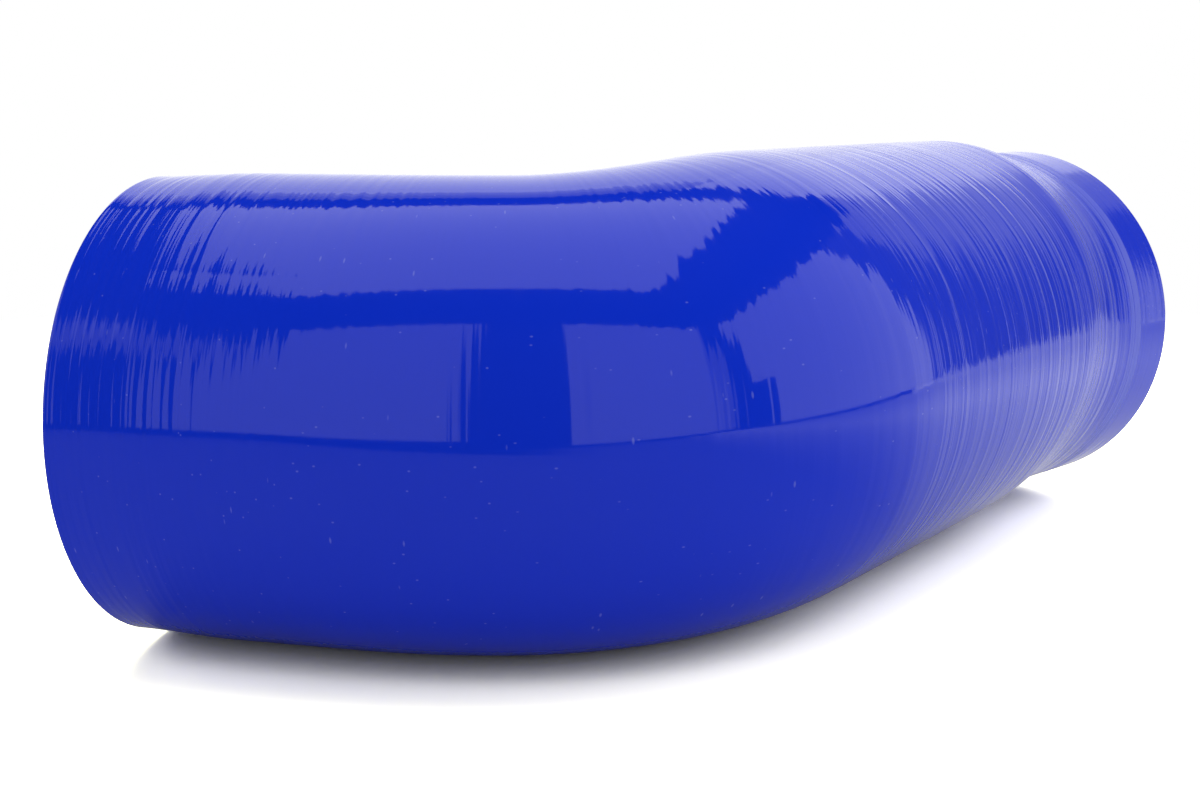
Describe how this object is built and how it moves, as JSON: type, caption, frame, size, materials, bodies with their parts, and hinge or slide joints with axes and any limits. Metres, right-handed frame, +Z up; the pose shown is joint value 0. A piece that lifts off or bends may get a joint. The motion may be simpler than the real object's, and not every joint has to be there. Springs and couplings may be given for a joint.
{
  "type": "airbox hose",
  "caption": "Glossy blue moulded silicone airbox hose: a short leg, an elbow, a fuller middle run, a slight return bend and a narrower cuff, with an open bore right through.",
  "frame": {"origin": "bottom centre of the bounding box, on the surface that the hose lies on", "axes": "+X along the middle run towards the cuff, +Y to the side that the short leg comes from, +Z up"},
  "size_m": [0.2592, 0.1518, 0.0942],
  "materials": {
    "blue_silicone": "glossy deep blue silicone with fine rings left by the wrapping tape"
  },
  "bodies": {
    "root": {"airbox_hose": "blue_silicone"}
  },
  "joints": []
}
